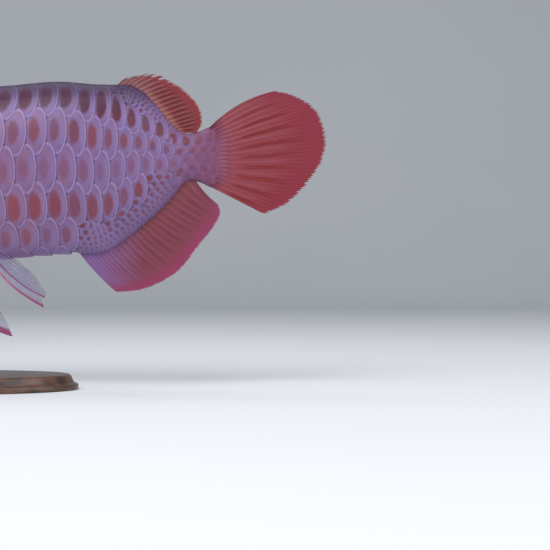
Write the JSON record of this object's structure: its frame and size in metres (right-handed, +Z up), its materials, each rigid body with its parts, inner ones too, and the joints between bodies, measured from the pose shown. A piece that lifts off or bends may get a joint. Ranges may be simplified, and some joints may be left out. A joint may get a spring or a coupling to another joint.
{
  "type": "fish display model",
  "caption": "Life-size red Asian arowana held swimming level by one rod on an oval base, with raised scales and rayed fins.",
  "frame": {"origin": "centre of the stand base's underside", "axes": "+X towards the tail, the head points along -X; +Z up; the fish's left side faces -Y"},
  "size_m": [0.549, 0.124, 0.2885],
  "materials": {
    "hide": "wet scaled hide, lavender rims round maroon centres",
    "bone": "smooth glossy bony plates",
    "fin": "deep red rayed membrane",
    "eye": "dark glossy eye with a golden red ring",
    "base_wood": "dark satin wood",
    "steel": "brushed"
  },
  "bodies": {
    "root": {"head": "hide", "lower_jaw": "hide", "trunk": "hide", "tail_stem": "hide", "gill_cover_left": "bone", "gill_cover_right": "bone", "eye_left": "eye", "eye_right": "eye", "barbel_left": "fin", "barbel_right": "fin", "dorsal_fin": "fin", "anal_fin": "fin", "caudal_fin": "fin", "pelvic_fin_left": "fin", "pelvic_fin_right": "fin", "pectoral_fin_left": "fin", "pectoral_fin_right": "fin", "stand_base": "base_wood", "stand_rod": "steel"}
  },
  "joints": []
}
